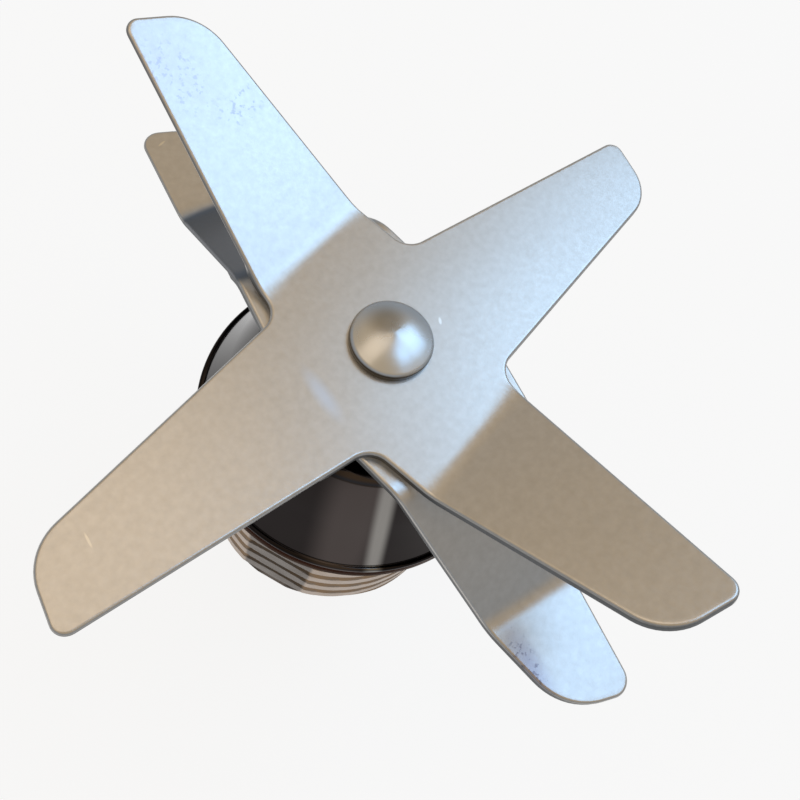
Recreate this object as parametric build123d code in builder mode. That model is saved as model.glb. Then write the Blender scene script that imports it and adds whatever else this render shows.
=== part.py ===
from build123d import *

import os
from math import cos, radians, sin, sqrt, tan

# Blade assembly of a jug blender. A four-arm upper blade and a two-arm lower blade are riveted to a
# shaft that runs in two ball bearings inside a conical housing with a threaded shank.
# Millimetres and degrees. +Z points up along the shaft. The origin lies on the shaft's axis, in the
# plane where the flange gasket meets the jug's floor. +X follows a flat arm of the upper blade and
# +Y a raised one. Arms have a clockwise (cw) and a counterclockwise (ccw) side as seen from above.

# Fits and clearances
seat_clearance = 0.02
running_clearance = 0.05
tenon_clearance = 0.05
shield_clearance = 0.2
washer_gap = 0.8

# Sheet of both blades
blade_thickness = 1.3
blade_edge_round = 0.35
grind_land = 0.45
grind_width = 2.6
grind_overcut = 1.0

# Upper blade: flat blank and the fold of its two raised arms
upper_corner_along = 9.0
upper_corner_across = 7.2
upper_corner_radius = 2.5
upper_tip_reach = 40.5
upper_tip_setback = 2.2
upper_tip_half_width = 3.95
upper_tip_radius_cw = 5.5
upper_tip_radius_ccw = 1.4
upper_fold_distance = 12.75
upper_fold_slant = 9.4
upper_fold_angle = 23.2
upper_bend_radius = 4.0
upper_grind_start = 5.0

# Lower blade: flat blank and its two folds, measured square to the fold lines
lower_turn = -10.3
lower_root_half_width = 10.9
lower_root_radius = 6.0
lower_tip_reach = 45.35
lower_tip_setback = 2.3
lower_tip_across = 7.7
lower_tip_width = 8.0
lower_tip_radius_cw = 7.5
lower_tip_radius_ccw = 2.0
lower_fold_inner = 13.43
lower_fold_outer = 31.95
lower_drop_angle = 34.9
lower_tip_angle = 1.9
lower_bend_radius = 3.0
lower_grind_start = 2.2

# Blade washer
washer_radius = 7.0
washer_thickness = 2.3
washer_edge = 0.3

# Shaft
shaft_radius = 4.0
tenon_step = 0.8
tenon_flat_depth = 0.7
head_overhang = 1.1
head_side = 0.9
head_crown = 1.2
head_peak_radius = 0.9
head_peak_height = 0.1
head_edge_round = 0.6
collar_step = 1.2
collar_height = 1.0
collar_gap = 1.4
spline_length = 12.0
spline_reach = 14.5
spline_teeth = 10
spline_relief = 0.25
spline_tooth_height = 0.7
spline_tooth_width = 1.15
spline_chamfer = 0.3

# Housing
flange_overhang = 2.0
flange_height = 2.5
flange_edge = 0.35
flange_ledge = 0.6
cone_height = 12.6
cone_half_angle = 23.5
cone_top_round = 1.2
shank_radius = 17.0
shank_length = 24.0
shank_chamfer = 1.0
shank_flat_depth = 0.85
shank_flat_turn = 20.0
pilot_height = 3.0
thread_step = 0.2
thread_pitch = 4.0
thread_turns = 6
thread_start_turn = 57.0
thread_depth = 0.9
thread_root_width = 0.9
thread_flank_angle = 30.0
thread_overcut = 0.3
relief_margin = 0.1
web_thickness = 1.4
mouth_depth = 5.0
mouth_chamfer = 0.6

# Flange gasket
gasket_thickness = 1.5
gasket_inset = 0.4
gasket_clearance = 0.15

# Shaft seal
seal_radius = 8.0
seal_height = 5.0
seal_recess = 0.2
seal_case_wall = 0.5
seal_case_lip = 1.9
seal_heel_depth = 1.6
seal_lip_thickness = 1.2
seal_lip_bevel = 0.5
dust_lip_rise = 0.25
spring_wire_radius = 0.5
spring_sink = 0.15

# Ball bearings
bearing_outer_radius = 11.0
bearing_width = 7.0
ball_radius = 1.985
ball_count = 7
land_offset = 1.45
ring_chamfer = 0.3
shield_seat_wall = 1.4
shield_seat_depth = 0.8
shield_thickness = 0.3
cage_half_width = 0.7
cage_end_gap = 0.2
cage_rise = 0.8
pocket_clearance = 0.06

# Sleeves between the bearings
inner_spacer_wall = 1.5
outer_spacer_wall = 1.5

# Retaining rings
shaft_ring_thickness = 0.8
shaft_groove_depth = 0.25
shaft_ring_width = 1.5
housing_ring_thickness = 1.0
housing_groove_depth = 0.6
housing_ring_width = 1.9
groove_side_clearance = 0.05
shaft_ring_gap = 60.0
housing_ring_gap = 30.0
ring_lug_radius = 1.5
ring_lug_hole_radius = 0.6

# Heights worked out from the sizes above
flange_floor = gasket_thickness
cone_floor = flange_floor + flange_height
housing_top = cone_floor + cone_height
washer_floor = housing_top + washer_gap
lower_blade_floor = washer_floor + washer_thickness
upper_blade_floor = lower_blade_floor + blade_thickness
upper_blade_top = upper_blade_floor + blade_thickness
seal_top = housing_top - seal_recess
seal_floor = seal_top - seal_height
bearing_bore_top = seal_floor - web_thickness
upper_bearing_middle = bearing_bore_top - bearing_width / 2
shank_floor = -shank_length
bearing_stack_floor = shank_floor + mouth_depth
lower_bearing_middle = bearing_stack_floor + bearing_width / 2
spacer_floor = bearing_stack_floor + bearing_width
spacer_length = bearing_bore_top - bearing_width - spacer_floor
shaft_floor = shank_floor - spline_reach

# Radii and lengths worked out from the sizes above
tenon_radius = shaft_radius - tenon_step
tenon_flat = tenon_radius - tenon_flat_depth
head_radius = tenon_radius + head_overhang
collar_radius = shaft_radius + collar_step
spline_tip_radius = shaft_radius - spline_relief
spline_root_radius = spline_tip_radius - spline_tooth_height
flange_radius = shank_radius + flange_overhang
cone_base_radius = flange_radius - flange_ledge
cone_top_radius = cone_base_radius - cone_height * tan(radians(cone_half_angle))
thread_radius = shank_radius - thread_step
thread_root_radius = thread_radius - thread_depth
thread_cut_radius = thread_radius + thread_overcut
thread_root_half = thread_root_width / 2
thread_mouth_half = thread_root_half + (thread_depth + thread_overcut) * tan(radians(thread_flank_angle))
relief_radius = thread_root_radius - relief_margin
pitch_radius = (shaft_radius + bearing_outer_radius) / 2
inner_land_radius = pitch_radius - land_offset
outer_land_radius = pitch_radius + land_offset
shield_seat_radius = bearing_outer_radius - shield_seat_wall
upper_tip_reach_cw = upper_tip_reach - upper_tip_setback
lower_tip_reach_cw = lower_tip_reach - lower_tip_setback
lower_tip_across_cw = lower_tip_across - lower_tip_width
blade_span = 2 * max(upper_tip_reach, lower_tip_reach)

# What tells the rim of a blade from its faces and its bore
wall_lean_limit = 0.01
rim_climb_limit = 0.9
bore_zone_radius = 2 * tenon_radius


def save(builder, name):
    """Labels a finished piece and writes it to its own file."""
    builder.part.label = name
    export_step(builder.part, f"parts/{name}.step")


def cap_radius(base, rise):
    """Radius of the sphere whose cap has this base radius and rise."""
    return (base**2 + rise**2) / (2 * rise)


def tenon_plan(radius, flat):
    """Round section with two flats, which turns the blades with the shaft."""
    with BuildSketch() as plan:
        Circle(radius)
        Rectangle(2 * radius, 2 * flat, mode=Mode.INTERSECT)
    return plan.sketch


def arm_plan(cw_side, ccw_side, radius_cw, radius_ccw):
    """Outline of one arm along +X from the shaft, each side listed from root to tip."""
    with BuildSketch() as plan:
        with BuildLine():
            Polyline((0, 0), *cw_side, *reversed(ccw_side), close=True)
        make_face()
        fillet(plan.vertices().sort_by_distance(cw_side[-1])[:1], radius_cw)
        fillet(plan.vertices().sort_by_distance(ccw_side[-1])[:1], radius_ccw)
    return plan.sketch


def section_plane(turn, height):
    """Upright plane through the shaft whose x axis lies turn degrees round from +X."""
    along = Vector(cos(radians(turn)), sin(radians(turn)), 0)
    return Plane(origin=(0, 0, height), x_dir=along, z_dir=along.cross(Vector(0, 0, 1)))


def rim_edges(blade):
    """Edges where a blade's two faces meet its outer wall, without the bore."""
    walls = blade.faces().filter_by(lambda face: abs(face.normal_at().Z) < wall_lean_limit)
    borders = walls.edges().filter_by(lambda edge: abs(edge.tangent_at(0.5).Z) < rim_climb_limit)
    return borders.filter_by(lambda edge: Vector(edge.center().X, edge.center().Y).length > bore_zone_radius)


def ground_edge(start, end, normal):
    """Wedge that grinds an edge of an arm to a bevel from below, along its top face from start to end."""
    along = (end - start).normalized()
    slope = (blade_thickness - grind_land) / grind_width
    below = -blade_thickness - grind_overcut
    with BuildPart() as wedge:
        with BuildSketch(Plane(origin=start, x_dir=normal.cross(along), z_dir=along)):
            with BuildLine():
                Polyline(
                    (-grind_width - grind_overcut / slope, below),
                    (grind_overcut, below),
                    (grind_overcut, grind_overcut * slope - grind_land),
                    close=True,
                )
            make_face()
        extrude(amount=(end - start).length)
    return wedge.part


def raised(point):
    """Place seen from above of a point of the flat blank once its arm is folded up."""
    across = Vector(cos(radians(upper_fold_slant)), sin(radians(upper_fold_slant)))
    beyond = max(across.dot(Vector(*point)) - upper_fold_distance, 0)
    moved = Vector(*point) - across * beyond * (1 - cos(radians(upper_fold_angle)))
    return (moved.X, moved.Y)


def lowered(run):
    """Distance from the shaft seen from above, and drop, of a run along the folded lower arm."""
    steep = min(max(run - lower_fold_inner, 0), lower_fold_outer - lower_fold_inner)
    tip = max(run - lower_fold_outer, 0)
    reach = min(run, lower_fold_inner)
    reach += steep * cos(radians(lower_drop_angle)) + tip * cos(radians(lower_tip_angle))
    return reach, -steep * sin(radians(lower_drop_angle)) - tip * sin(radians(lower_tip_angle))


def lower_side(sign, tip_reach, tip_across):
    """One side of the lower arm seen from above, with a corner at each fold."""
    slope = (tip_across - sign * lower_root_half_width) / tip_reach
    runs = (0, lower_fold_inner, lower_fold_outer, tip_reach)
    return [(lowered(run)[0], sign * lower_root_half_width + slope * run) for run in runs]


def lower_edge(run):
    """Point on the ccw edge of the folded lower arm, on its top face."""
    reach, drop = lowered(run)
    slope = (lower_tip_across - lower_root_half_width) / lower_tip_reach
    return Vector(reach, lower_root_half_width + slope * run, upper_blade_floor + drop)


def retaining_ring(inner, outer, lug_circle, gap, floor, thickness):
    """Open flat ring with a pair of plier lugs beside its gap."""
    gap_x = 2 * outer * cos(radians(gap / 2))
    gap_y = 2 * outer * sin(radians(gap / 2))
    with BuildPart() as ring:
        with BuildSketch(Plane.XY.offset(floor)):
            Circle(outer)
            Circle(inner, mode=Mode.SUBTRACT)
            with BuildLine():
                Polyline((0, 0), (gap_x, -gap_y), (gap_x, gap_y), close=True)
            make_face(mode=Mode.SUBTRACT)
            with PolarLocations(lug_circle, 2, -gap / 2, 2 * gap):
                Circle(ring_lug_radius)
                Circle(ring_lug_hole_radius, mode=Mode.SUBTRACT)
        extrude(amount=thickness)
    return ring


os.makedirs("parts", exist_ok=True)

# Upper blade: the folded strip trimmed to the plan of its four arms, with their ccw edges ground from below
flat_cw = [(upper_corner_across, -upper_corner_along), (upper_tip_reach_cw, -upper_tip_half_width)]
flat_ccw = [(upper_corner_along, upper_corner_across), (upper_tip_reach, upper_tip_half_width)]
flat_arm = arm_plan(flat_cw, flat_ccw, upper_tip_radius_cw, upper_tip_radius_ccw)
raised_arm = arm_plan(
    [raised(point) for point in flat_cw],
    [raised(point) for point in flat_ccw],
    upper_tip_radius_cw,
    upper_tip_radius_ccw,
)
edge_root = Vector(*flat_ccw[0], upper_blade_top)
edge_tip = Vector(*flat_ccw[1], upper_blade_top)
edge_along = (edge_tip - edge_root).normalized()
flat_grind = ground_edge(
    edge_root + edge_along * upper_grind_start,
    edge_tip + edge_along * upper_tip_radius_ccw,
    Vector(0, 0, 1),
)
fold_out = Vector(cos(radians(upper_fold_slant)), sin(radians(upper_fold_slant)), 0)
fold_corner = fold_out * upper_fold_distance + Vector(0, 0, upper_blade_top)
fold_axis = Axis(fold_corner, Vector(0, 0, 1).cross(fold_out))
raised_grind = flat_grind.rotate(fold_axis, -upper_fold_angle)
raised_end = (
    upper_fold_distance + blade_span * cos(radians(upper_fold_angle)),
    blade_span * sin(radians(upper_fold_angle)),
)
with BuildPart() as upper_blade:
    with BuildSketch(section_plane(90 + upper_fold_slant, upper_blade_top)):
        with BuildLine():
            FilletPolyline(
                (-raised_end[0], raised_end[1]),
                (-upper_fold_distance, 0),
                (upper_fold_distance, 0),
                raised_end,
                radius=upper_bend_radius,
            )
            offset(amount=blade_thickness, side=Side.RIGHT)
        make_face()
    extrude(amount=blade_span, both=True)
    with BuildSketch(Plane.XY.offset(upper_blade_floor)) as cross_plan:
        add(flat_arm)
        add(raised_arm, rotation=90)
        add(flat_arm, rotation=180)
        add(raised_arm, rotation=270)
        fillet(cross_plan.vertices().sort_by_distance((0, 0))[:4], upper_corner_radius)
        add(tenon_plan(tenon_radius + tenon_clearance, tenon_flat + tenon_clearance), mode=Mode.SUBTRACT)
    extrude(amount=blade_span, mode=Mode.INTERSECT)
    fillet(rim_edges(upper_blade), blade_edge_round)
    for turn, wedge in ((0, flat_grind), (90, raised_grind), (180, flat_grind), (270, raised_grind)):
        add(wedge.rotate(Axis.Z, turn), mode=Mode.SUBTRACT)
save(upper_blade, "upper_blade")

# Lower blade: two arms that drop beside the cone and level out at their tips, ground like the upper ones
lower_arm = arm_plan(
    lower_side(-1, lower_tip_reach_cw, lower_tip_across_cw),
    lower_side(1, lower_tip_reach, lower_tip_across),
    lower_tip_radius_cw,
    lower_tip_radius_ccw,
)
drop_normal = Vector(sin(radians(lower_drop_angle)), 0, cos(radians(lower_drop_angle)))
tip_normal = Vector(sin(radians(lower_tip_angle)), 0, cos(radians(lower_tip_angle)))
drop_edge_start = lower_edge(lower_fold_inner + lower_grind_start)
tip_edge_end = lower_edge(lower_tip_reach + lower_tip_radius_ccw)
lower_grinds = [
    ground_edge(drop_edge_start, lower_edge(lower_fold_outer), drop_normal),
    ground_edge(lower_edge(lower_fold_outer), tip_edge_end, tip_normal),
]
lower_corners = [(lower_fold_inner, 0), lowered(lower_fold_outer), lowered(blade_span)]
lower_bends = [lower_bend_radius + blade_thickness, lower_bend_radius]
with BuildPart() as lower_blade:
    with BuildSketch(section_plane(90 + lower_turn, upper_blade_floor)):
        with BuildLine():
            FilletPolyline(
                *[(-reach, drop) for reach, drop in reversed(lower_corners)],
                *lower_corners,
                radius=lower_bends[::-1] + lower_bends,
            )
            offset(amount=blade_thickness, side=Side.RIGHT)
        make_face()
    extrude(amount=blade_span, both=True)
    with BuildSketch(Plane.XY.offset(-blade_span)) as strip_plan:
        add(lower_arm, rotation=90 + lower_turn)
        add(lower_arm, rotation=270 + lower_turn)
        fillet(strip_plan.vertices().sort_by_distance((0, 0))[:2], lower_root_radius)
        add(tenon_plan(tenon_radius + tenon_clearance, tenon_flat + tenon_clearance), mode=Mode.SUBTRACT)
    extrude(amount=2 * blade_span, mode=Mode.INTERSECT)
    fillet(rim_edges(lower_blade), blade_edge_round)
    for turn in (90 + lower_turn, 270 + lower_turn):
        for wedge in lower_grinds:
            add(wedge.rotate(Axis.Z, turn), mode=Mode.SUBTRACT)
save(lower_blade, "lower_blade")

# Blade washer between the lower blade and the shaft's shoulder
with BuildPart() as blade_washer:
    with BuildSketch(Plane.XY.offset(washer_floor)):
        Circle(washer_radius)
        Circle(tenon_radius + tenon_clearance, mode=Mode.SUBTRACT)
    extrude(amount=washer_thickness)
    chamfer(blade_washer.edges().filter_by(GeomType.CIRCLE).sort_by(SortBy.RADIUS)[-2:], washer_edge)
save(blade_washer, "blade_washer")

# Shaft: riveted head, tenon with flats, collar over the upper bearing and splined drive end
collar_floor = bearing_bore_top
shaft_groove_top = bearing_stack_floor
shaft_groove_floor = shaft_groove_top - shaft_ring_thickness - 2 * groove_side_clearance
spline_top = shaft_floor + spline_length
head_side_top = (head_radius, upper_blade_top + head_side)
crown_radius = cap_radius(head_radius, head_crown)
crown_sag = crown_radius - sqrt(crown_radius**2 - head_peak_radius**2)
peak_rim = (head_peak_radius, upper_blade_top + head_side + head_crown - crown_sag)
peak_top = (0, peak_rim[1] + head_peak_height)
peak_cap_radius = cap_radius(head_peak_radius, head_peak_height)
with BuildPart() as shaft:
    with BuildSketch(Plane.XZ):
        with BuildLine():
            Polyline(
                (0, spline_top),
                (shaft_radius, spline_top),
                (shaft_radius, shaft_groove_floor),
                (shaft_radius - shaft_groove_depth, shaft_groove_floor),
                (shaft_radius - shaft_groove_depth, shaft_groove_top),
                (shaft_radius, shaft_groove_top),
                (shaft_radius, collar_floor),
                (collar_radius, collar_floor),
                (collar_radius, collar_floor + collar_height),
                (shaft_radius, collar_floor + collar_height),
                (shaft_radius, washer_floor),
                (0, washer_floor),
                close=True,
            )
        make_face()
    revolve(axis=Axis.Z)
    with BuildSketch(Plane.XY.offset(washer_floor)):
        add(tenon_plan(tenon_radius, tenon_flat))
    extrude(amount=upper_blade_top - washer_floor)
    with BuildSketch(Plane.XZ) as head_section:
        with BuildLine():
            Polyline(peak_top, (0, upper_blade_top), (head_radius, upper_blade_top), head_side_top)
            RadiusArc(head_side_top, peak_rim, -crown_radius)
            RadiusArc(peak_rim, peak_top, -peak_cap_radius)
        make_face()
        fillet(head_section.vertices().sort_by_distance(head_side_top)[:1], head_edge_round)
    revolve(axis=Axis.Z)
    with BuildSketch(Plane.XY.offset(shaft_floor)):
        Circle(spline_root_radius)
        with PolarLocations(spline_root_radius, spline_teeth):
            Rectangle(2 * spline_root_radius, spline_tooth_width)
        Circle(spline_tip_radius, mode=Mode.INTERSECT)
    extrude(amount=spline_length)
    chamfer(shaft.faces().sort_by(Axis.Z)[0].edges(), spline_chamfer)
save(shaft, "shaft")

# Housing: cone, flange and shank turned in one piece. A plain pilot under the flange fits the jug's hole,
# the thread below it runs out into a relief, and two flats are milled along the shank.
seal_bore_radius = seal_radius + seat_clearance
bearing_bore_radius = bearing_outer_radius + seat_clearance
web_bore_radius = collar_radius + collar_gap
housing_groove_top = bearing_stack_floor
housing_groove_floor = housing_groove_top - housing_ring_thickness - 2 * groove_side_clearance
pilot_floor = -pilot_height
relief_floor = pilot_floor - 2 * (thread_mouth_half + relief_margin)
thread_end = (pilot_floor + relief_floor) / 2
thread_start = thread_end - thread_turns * thread_pitch
with BuildPart() as housing:
    with BuildSketch(Plane.XZ) as section:
        with BuildLine():
            Polyline(
                (thread_radius, shank_floor),
                (thread_radius, relief_floor),
                (relief_radius, relief_floor),
                (relief_radius, pilot_floor),
                (shank_radius, pilot_floor),
                (shank_radius, 0),
                (relief_radius, 0),
                (relief_radius, flange_floor),
                (flange_radius, flange_floor),
                (flange_radius, cone_floor),
                (cone_base_radius, cone_floor),
                (cone_top_radius, housing_top),
                (seal_bore_radius, housing_top),
                (seal_bore_radius, seal_floor),
                (web_bore_radius, seal_floor),
                (web_bore_radius, bearing_bore_top),
                (bearing_bore_radius, bearing_bore_top),
                (bearing_bore_radius, housing_groove_top),
                (bearing_bore_radius + housing_groove_depth, housing_groove_top),
                (bearing_bore_radius + housing_groove_depth, housing_groove_floor),
                (bearing_bore_radius, housing_groove_floor),
                (bearing_bore_radius, shank_floor),
                close=True,
            )
        make_face()
        fillet(section.vertices().sort_by_distance((cone_top_radius, housing_top))[:1], cone_top_round)
        fillet(section.vertices().sort_by_distance((flange_radius, cone_floor))[:1], flange_edge)
        fillet(section.vertices().sort_by_distance((flange_radius, flange_floor))[:1], flange_edge)
        chamfer(section.vertices().sort_by_distance((thread_radius, shank_floor))[:1], shank_chamfer)
        chamfer(section.vertices().sort_by_distance((bearing_bore_radius, shank_floor))[:1], mouth_chamfer)
    revolve(axis=Axis.Z)
    with BuildLine(mode=Mode.PRIVATE) as thread_path:
        Helix(thread_pitch, thread_end - thread_start, thread_radius, center=(0, 0, thread_start))
    with BuildSketch(Plane.XZ):
        with BuildLine():
            Polyline(
                (thread_root_radius, thread_start - thread_root_half),
                (thread_cut_radius, thread_start - thread_mouth_half),
                (thread_cut_radius, thread_start + thread_mouth_half),
                (thread_root_radius, thread_start + thread_root_half),
                close=True,
            )
        make_face()
    thread_groove = sweep(path=thread_path.line, is_frenet=True, mode=Mode.PRIVATE)
    add(thread_groove.rotate(Axis.Z, thread_start_turn), mode=Mode.SUBTRACT)
    with BuildSketch(Plane.XY.offset(shank_floor)):
        with PolarLocations(2 * shank_radius - shank_flat_depth, 2, shank_flat_turn):
            Rectangle(2 * shank_radius, 2 * shank_radius)
    extrude(amount=shank_length, mode=Mode.SUBTRACT)
save(housing, "housing")

# Flange gasket, which slips over the thread and lies against the flange
with BuildPart() as flange_gasket:
    with BuildSketch():
        Circle(flange_radius - gasket_inset)
        Circle(shank_radius + gasket_clearance, mode=Mode.SUBTRACT)
    extrude(amount=gasket_thickness)
save(flange_gasket, "flange_gasket")

# Shaft seal: pressed steel case, rubber lip and the spring that closes the lip on the shaft
case_bore_radius = seal_radius - seal_case_wall
case_lip_radius = case_bore_radius - seal_case_lip
lip_radius = shaft_radius + running_clearance
heel_floor = seal_top - seal_case_wall - seal_heel_depth
lip_outer_radius = lip_radius + seal_lip_thickness
spring_circle_radius = lip_outer_radius + spring_wire_radius - spring_sink
spring_middle = seal_floor + 2 * spring_wire_radius
with BuildPart() as seal_case:
    with BuildSketch(Plane.XZ):
        with BuildLine():
            Polyline(
                (seal_radius, seal_floor),
                (seal_radius, seal_top),
                (case_lip_radius, seal_top),
                (case_lip_radius, seal_top - seal_case_wall),
                (case_bore_radius, seal_top - seal_case_wall),
                (case_bore_radius, seal_floor),
                close=True,
            )
        make_face()
    revolve(axis=Axis.Z)
save(seal_case, "seal_case")

with BuildPart() as seal_lip:
    with BuildSketch(Plane.XZ):
        with BuildLine():
            Polyline(
                (case_bore_radius - seat_clearance, heel_floor),
                (case_bore_radius - seat_clearance, seal_top - seal_case_wall),
                (lip_outer_radius, seal_top - seal_case_wall),
                (lip_radius, seal_top - seal_case_wall + dust_lip_rise),
                (lip_radius, seal_floor + seal_lip_bevel),
                (lip_radius + seal_lip_bevel, seal_floor),
                (lip_outer_radius, seal_floor),
                (lip_outer_radius, heel_floor),
                close=True,
            )
        make_face()
        with Locations((spring_circle_radius, spring_middle)):
            Circle(spring_wire_radius + seat_clearance, mode=Mode.SUBTRACT)
    revolve(axis=Axis.Z)
save(seal_lip, "seal_lip")

with BuildPart() as seal_spring:
    with BuildSketch(Plane.XZ):
        with Locations((spring_circle_radius, spring_middle)):
            Circle(spring_wire_radius)
    revolve(axis=Axis.Z)
save(seal_spring, "seal_spring")

# Ball bearings: rings, shields, balls and moulded crown cage of each
race_radius = ball_radius + running_clearance
ring_bore_radius = shaft_radius + seat_clearance
half_width = bearing_width / 2
top_shield_floor = half_width - shield_seat_depth
bottom_shield_floor = shield_seat_depth - shield_thickness - half_width
cage_foot = half_width - shield_seat_depth - cage_end_gap
for place, middle in (("upper", upper_bearing_middle), ("lower", lower_bearing_middle)):
    bearing_section = section_plane(0, middle)
    with BuildPart() as inner_ring:
        with BuildSketch(bearing_section) as section:
            with Locations(((ring_bore_radius + inner_land_radius) / 2, 0)):
                Rectangle(inner_land_radius - ring_bore_radius, bearing_width)
            chamfer(section.vertices(), ring_chamfer)
            with Locations((pitch_radius, 0)):
                Circle(race_radius, mode=Mode.SUBTRACT)
        revolve(axis=Axis.Z)
    save(inner_ring, f"{place}_inner_ring")

    with BuildPart() as outer_ring:
        with BuildSketch(bearing_section) as section:
            with Locations(((outer_land_radius + bearing_outer_radius) / 2, 0)):
                Rectangle(bearing_outer_radius - outer_land_radius, bearing_width)
            chamfer(section.vertices().group_by(Axis.X)[-1], ring_chamfer)
            with Locations((pitch_radius, 0)):
                Circle(race_radius, mode=Mode.SUBTRACT)
            with Locations((0, half_width), (0, -half_width)):
                Rectangle(2 * shield_seat_radius, 2 * shield_seat_depth, mode=Mode.SUBTRACT)
        revolve(axis=Axis.Z)
    save(outer_ring, f"{place}_outer_ring")

    for side, floor in (("top", top_shield_floor), ("bottom", bottom_shield_floor)):
        with BuildPart() as shield:
            with BuildSketch(Plane.XY.offset(middle + floor)):
                Circle(shield_seat_radius - seat_clearance)
                Circle(inner_land_radius + shield_clearance, mode=Mode.SUBTRACT)
            extrude(amount=shield_thickness)
        save(shield, f"{place}_bearing_{side}_shield")

    with BuildPart(Plane.XY.offset(middle)) as balls:
        with PolarLocations(pitch_radius, ball_count):
            Sphere(ball_radius)
    save(balls, f"{place}_bearing_balls")

    with BuildPart(Plane.XY.offset(middle)) as cage:
        with BuildSketch(Plane.XY.offset(middle - cage_foot)):
            Circle(pitch_radius + cage_half_width)
            Circle(pitch_radius - cage_half_width, mode=Mode.SUBTRACT)
        extrude(amount=cage_foot + cage_rise)
        with PolarLocations(pitch_radius, ball_count):
            Sphere(ball_radius + pocket_clearance, mode=Mode.SUBTRACT)
    save(cage, f"{place}_bearing_cage")

# Sleeves that hold the bearings apart
with BuildPart() as inner_spacer:
    with BuildSketch(Plane.XY.offset(spacer_floor)):
        Circle(shaft_radius + inner_spacer_wall)
        Circle(shaft_radius + seat_clearance, mode=Mode.SUBTRACT)
    extrude(amount=spacer_length)
save(inner_spacer, "inner_spacer")

with BuildPart() as outer_spacer:
    with BuildSketch(Plane.XY.offset(spacer_floor)):
        Circle(bearing_outer_radius)
        Circle(bearing_outer_radius - outer_spacer_wall, mode=Mode.SUBTRACT)
    extrude(amount=spacer_length)
save(outer_spacer, "outer_spacer")

# Retaining rings under the lower bearing
shaft_ring_bore = shaft_radius - shaft_groove_depth + seat_clearance
shaft_circlip = retaining_ring(
    inner=shaft_ring_bore,
    outer=shaft_ring_bore + shaft_ring_width,
    lug_circle=shaft_ring_bore + ring_lug_radius,
    gap=shaft_ring_gap,
    floor=shaft_groove_floor + groove_side_clearance,
    thickness=shaft_ring_thickness,
)
save(shaft_circlip, "shaft_circlip")

housing_ring_outer = bearing_bore_radius + housing_groove_depth - seat_clearance
housing_circlip = retaining_ring(
    inner=housing_ring_outer - housing_ring_width,
    outer=housing_ring_outer,
    lug_circle=housing_ring_outer - ring_lug_radius,
    gap=housing_ring_gap,
    floor=housing_groove_floor + groove_side_clearance,
    thickness=housing_ring_thickness,
)
save(housing_circlip, "housing_circlip")
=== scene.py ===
import logging
from dataclasses import dataclass
from enum import Enum
from typing import Any

import bpy
import numpy as np
from mathutils import Euler, Matrix, Vector
from numpy.typing import NDArray


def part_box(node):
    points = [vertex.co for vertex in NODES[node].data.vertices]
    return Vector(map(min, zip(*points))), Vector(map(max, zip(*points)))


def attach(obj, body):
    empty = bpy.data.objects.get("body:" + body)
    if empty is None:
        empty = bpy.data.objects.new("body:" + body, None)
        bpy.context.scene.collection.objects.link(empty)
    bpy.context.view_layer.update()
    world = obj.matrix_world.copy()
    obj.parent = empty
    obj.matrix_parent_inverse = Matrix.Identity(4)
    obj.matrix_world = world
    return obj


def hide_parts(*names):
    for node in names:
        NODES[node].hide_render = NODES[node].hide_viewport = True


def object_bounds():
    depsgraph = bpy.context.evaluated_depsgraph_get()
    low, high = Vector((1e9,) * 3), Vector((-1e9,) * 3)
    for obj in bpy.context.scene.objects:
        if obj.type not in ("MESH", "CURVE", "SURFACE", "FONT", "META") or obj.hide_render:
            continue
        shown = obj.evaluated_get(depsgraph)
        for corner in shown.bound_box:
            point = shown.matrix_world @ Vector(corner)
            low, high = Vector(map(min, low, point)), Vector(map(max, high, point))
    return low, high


# Looks of a jug blender's blade unit. Sizes are millimetres and degrees unless a name says otherwise.
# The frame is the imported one: +Z up the shaft, +X along a flat arm, +Y along a raised arm.

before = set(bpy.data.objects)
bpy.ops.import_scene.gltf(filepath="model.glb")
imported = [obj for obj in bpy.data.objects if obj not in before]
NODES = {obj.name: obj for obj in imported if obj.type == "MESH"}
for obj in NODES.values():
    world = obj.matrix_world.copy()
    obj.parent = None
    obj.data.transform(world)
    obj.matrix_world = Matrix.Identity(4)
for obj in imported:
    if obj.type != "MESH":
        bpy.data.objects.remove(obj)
CAD_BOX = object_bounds()
METRE = 1000.0  # millimetres in a metre
HALF_TURN = 180.0
QUARTER_TURN = 90.0
TINY = 1e-6  # keeps a divisor off nought
RIM = "rim"  # attribute of a blade's points: one on the sheared wall, nought on the faces
WHITE = "#FFFFFF"
NOISE_LIMITS = (0.3, 0.7)  # nearly all of a noise texture lies between these
OUTWARDS = 0.25  # share of a turn that stretches a highlight outwards instead of round the axis
LOG = logging.getLogger("blade_unit")

Array = NDArray[np.float64]
Point = tuple[float, float, float]
Link = tuple[Any, Any]
Links = dict[str | int, Any]


class Body(Enum):
    """The bodies that new pieces ride on."""

    HOUSING = "housing"
    ROTOR = "rotor"


class Zone(Enum):
    """Finishes of the housing, in the order of its material slots."""

    POLISHED = 0
    TURNED = 1
    THREADED = 2


class Layers(Enum):
    """How many layers, each finer than the last, a noise texture has."""

    SMOOTH = 1.0
    GRAINED = 2.0
    PATCHY = 3.0
    CLOUDY = 4.0


def linear(colour: str) -> tuple[float, float, float, float]:
    """Turns an sRGB hex colour into the linear colour that shaders take.

    The numbers are those of the sRGB standard: a straight foot, and a power of 2.4 above it.

    Args:
        colour: Six hex digits after a hash sign.

    Returns:
        Linear red, green, blue and an alpha of one.
    """
    channels = np.array([int(colour[i : i + 2], 16) for i in (1, 3, 5)]) / 255
    low = channels / 12.92
    high = ((channels + 0.055) / 1.055) ** 2.4
    red, green, blue = np.where(channels <= 0.04045, low, high)
    return float(red), float(green), float(blue), 1.0


def per_mm(size: float) -> float:
    """Scale that gives a texture features of this size in millimetres."""
    return METRE / size


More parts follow.
